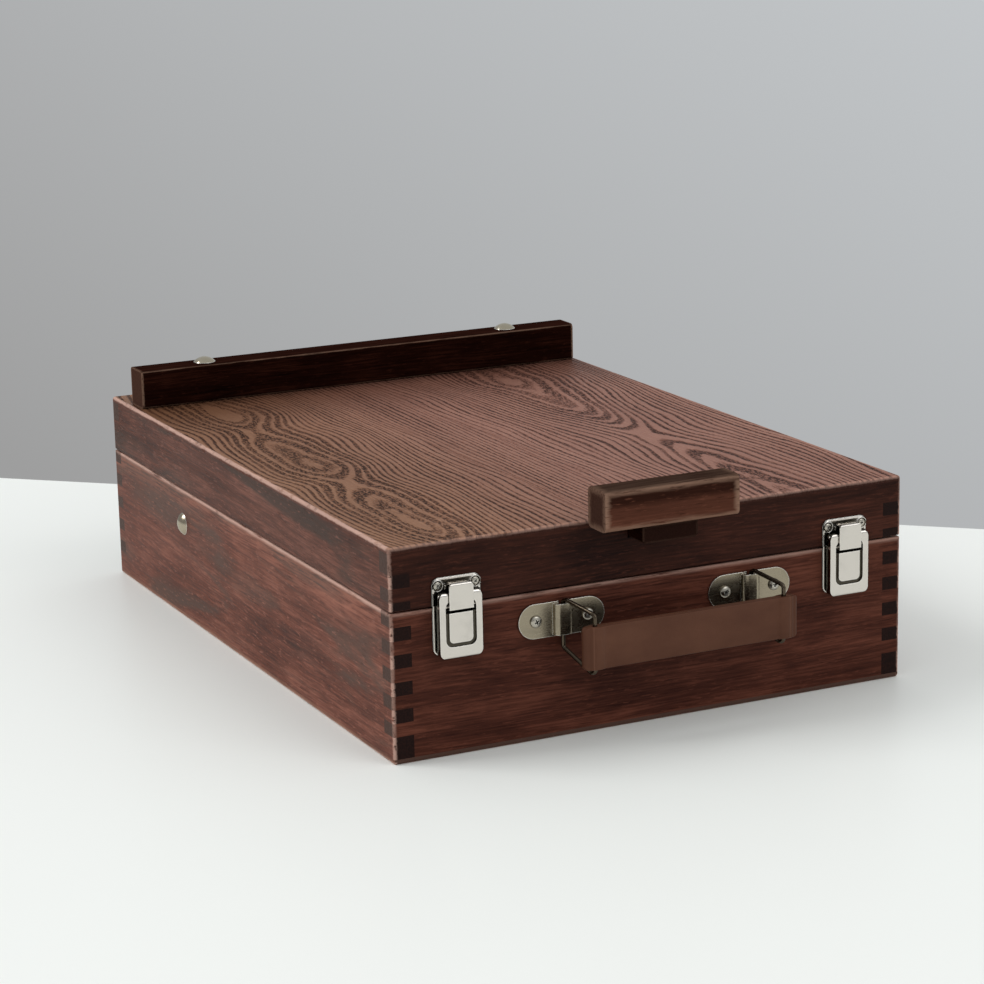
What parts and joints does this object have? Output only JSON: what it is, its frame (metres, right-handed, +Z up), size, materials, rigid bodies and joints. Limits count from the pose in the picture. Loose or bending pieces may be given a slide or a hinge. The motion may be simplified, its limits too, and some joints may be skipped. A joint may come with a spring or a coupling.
{
  "type": "pochade box",
  "caption": "Wooden painter's box with finger-jointed walls, a lid that serves as easel, a sliding canvas clamp, toggle latches and a strap handle.",
  "frame": {"origin": "centre of the carcass's underside, in the plane the box rests on", "axes": "+X to the right seen from the front, -Y out of the front (latches and handle), +Y to the hinges, +Z up"},
  "size_m": [0.3234, 0.4838, 0.1484],
  "materials": {
    "box_wood": "mahogany-stained hardwood, satin, rubbed pale along its edges",
    "panel_wood": "stained veneered ply, open ridged grain",
    "bottom_ply": "stained ply",
    "clamp_wood": "dark stained hardwood with rubbed edges",
    "inner_wood": "bare wood, lightly oiled",
    "palette_wood": "oiled ply",
    "latch_nickel": "polished nickel plate",
    "handle_nickel": "satin nickel plate",
    "hinge_nickel": "nickel plate",
    "bolt_steel": "nickel-plated steel",
    "stay_steel": "plated steel strip",
    "grip_leather": "stiff brown strap leather"
  },
  "bodies": {
    "base": {"base_front_wall": "box_wood", "base_back_wall": "box_wood", "base_left_wall": "box_wood", "base_right_wall": "box_wood", "bottom_panel": "bottom_ply", "left_runner": "inner_wood", "right_runner": "inner_wood", "long_divider": "inner_wood", "cross_divider": "inner_wood", "tripod_block": "inner_wood", "tripod_nut": "bolt_steel", "left_hinge_base_leaf": "hinge_nickel", "right_hinge_base_leaf": "hinge_nickel", "hinge_pins": "hinge_nickel", "hinge_base_screws": "hinge_nickel", "left_latch_plate": "latch_nickel", "right_latch_plate": "latch_nickel", "latch_pivot_pins": "latch_nickel", "latch_plate_screws": "latch_nickel", "left_saddle": "handle_nickel", "right_saddle": "handle_nickel", "saddle_screws": "handle_nickel", "stay_bolt": "bolt_steel"},
    "lid": {"lid_front_wall": "box_wood", "lid_back_wall": "box_wood", "lid_left_wall": "box_wood", "lid_right_wall": "box_wood", "top_panel": "panel_wood", "left_slat_rail": "inner_wood", "right_slat_rail": "inner_wood", "slat_keeper": "inner_wood", "canvas_ledge": "clamp_wood", "ledge_bolts": "bolt_steel", "left_hinge_lid_leaf": "hinge_nickel", "right_hinge_lid_leaf": "hinge_nickel", "hinge_lid_screws": "hinge_nickel", "left_strike_plate": "latch_nickel", "right_strike_plate": "latch_nickel", "strike_screws": "latch_nickel", "stay_lid_pivot": "bolt_steel"},
    "slat_and_t_bar": {"slat": "clamp_wood", "t_bar": "clamp_wood", "t_bar_screws": "bolt_steel"},
    "slat_lock_screw": {"slat_lock_screw": "bolt_steel"},
    "left_ledge_wing_nut": {"left_ledge_wing_nut": "bolt_steel"},
    "right_ledge_wing_nut": {"right_ledge_wing_nut": "bolt_steel"},
    "stay_base_link": {"stay_base_link": "stay_steel", "stay_knee_rivet": "bolt_steel"},
    "stay_lid_link": {"stay_lid_link": "stay_steel"},
    "stay_wing_nut": {"stay_wing_nut": "bolt_steel"},
    "left_latch_lever": {"left_latch_lever": "latch_nickel", "left_hook_pin": "latch_nickel"},
    "left_latch_hook": {"left_latch_hook": "latch_nickel"},
    "right_latch_lever": {"right_latch_lever": "latch_nickel", "right_hook_pin": "latch_nickel"},
    "right_latch_hook": {"right_latch_hook": "latch_nickel"},
    "left_ring": {"left_ring": "handle_nickel"},
    "right_ring": {"right_ring": "handle_nickel"},
    "grip": {"grip": "grip_leather"},
    "palette": {"palette": "palette_wood"}
  },
  "joints": [
    {"name": "lid_hinge", "type": "hinge", "parent": "base", "child": "lid", "pos_m": [0, 0.2282, 0.0845], "axis": [-1, 0, 0], "range_deg": [0, 105]},
    {"name": "stay_base_pivot", "type": "hinge", "parent": "base", "child": "stay_base_link", "pos_m": [-0.1476, 0.096, 0.062], "axis": [-1, 0, 0], "range_deg": [0, 105]},
    {"name": "stay_lid_pivot", "type": "hinge", "parent": "lid", "child": "stay_lid_link", "pos_m": [-0.1476, 0.118, 0.1005], "axis": [-1, 0, 0], "range_deg": [-105, 0]},
    {"name": "stay_wing_nut_turn", "type": "hinge", "parent": "base", "child": "stay_wing_nut", "pos_m": [-0.1476, 0.096, 0.062], "axis": [1, 0, 0], "continuous": true},
    {"name": "left_lever_hinge", "type": "hinge", "parent": "base", "child": "left_latch_lever", "pos_m": [-0.1215, -0.2292, 0.091], "axis": [-1, 0, 0], "range_deg": [0, 100]},
    {"name": "left_hook_hinge", "type": "hinge", "parent": "left_latch_lever", "child": "left_latch_hook", "pos_m": [-0.1215, -0.2298, 0.085], "axis": [-1, 0, 0], "range_deg": [-100, 0]},
    {"name": "right_lever_hinge", "type": "hinge", "parent": "base", "child": "right_latch_lever", "pos_m": [0.1215, -0.2292, 0.091], "axis": [-1, 0, 0], "range_deg": [0, 100]},
    {"name": "right_hook_hinge", "type": "hinge", "parent": "right_latch_lever", "child": "right_latch_hook", "pos_m": [0.1215, -0.2298, 0.085], "axis": [-1, 0, 0], "range_deg": [-100, 0]},
    {"name": "left_ring_hinge", "type": "hinge", "parent": "base", "child": "left_ring", "pos_m": [-0.059, -0.2276, 0.068], "axis": [0, 0, 1], "range_deg": [-81.6, 38.4]},
    {"name": "grip_hinge", "type": "hinge", "parent": "left_ring", "child": "grip", "pos_m": [-0.05053, -0.24899, 0.068], "axis": [0, 0, 1], "range_deg": [-38.4, 81.6]},
    {"name": "right_ring_hinge", "type": "hinge", "parent": "base", "child": "right_ring", "pos_m": [0.059, -0.2276, 0.068], "axis": [0, 0, 1], "range_deg": [-81.6, 38.4]},
    {"name": "slat_slide", "type": "slide", "parent": "lid", "child": "slat_and_t_bar", "axis": [0, -1, 0], "range_m": [0, 0.15]},
    {"name": "slat_lock_turn", "type": "hinge", "parent": "lid", "child": "slat_lock_screw", "pos_m": [0, -0.175, 0.1069], "axis": [0, 0, 1], "continuous": true},
    {"name": "left_ledge_wing_nut_turn", "type": "hinge", "parent": "lid", "child": "left_ledge_wing_nut", "pos_m": [-0.109, 0.1845, 0.117], "axis": [0, 0, 1], "continuous": true},
    {"name": "right_ledge_wing_nut_turn", "type": "hinge", "parent": "lid", "child": "right_ledge_wing_nut", "pos_m": [0.109, 0.1845, 0.117], "axis": [0, 0, 1], "continuous": true},
    {"name": "palette_slide", "type": "slide", "parent": "base", "child": "palette", "axis": [0, 1, 0], "range_m": [0, 0.185]}
  ],
  "couplings": [
    {"joint": "stay_base_pivot", "follows": "lid_hinge", "ratio": 1},
    {"joint": "stay_lid_pivot", "follows": "lid_hinge", "ratio": -1},
    {"joint": "left_hook_hinge", "follows": "left_lever_hinge", "ratio": -1},
    {"joint": "right_hook_hinge", "follows": "right_lever_hinge", "ratio": -1},
    {"joint": "grip_hinge", "follows": "left_ring_hinge", "ratio": -1},
    {"joint": "right_ring_hinge", "follows": "left_ring_hinge", "ratio": 1}
  ]
}
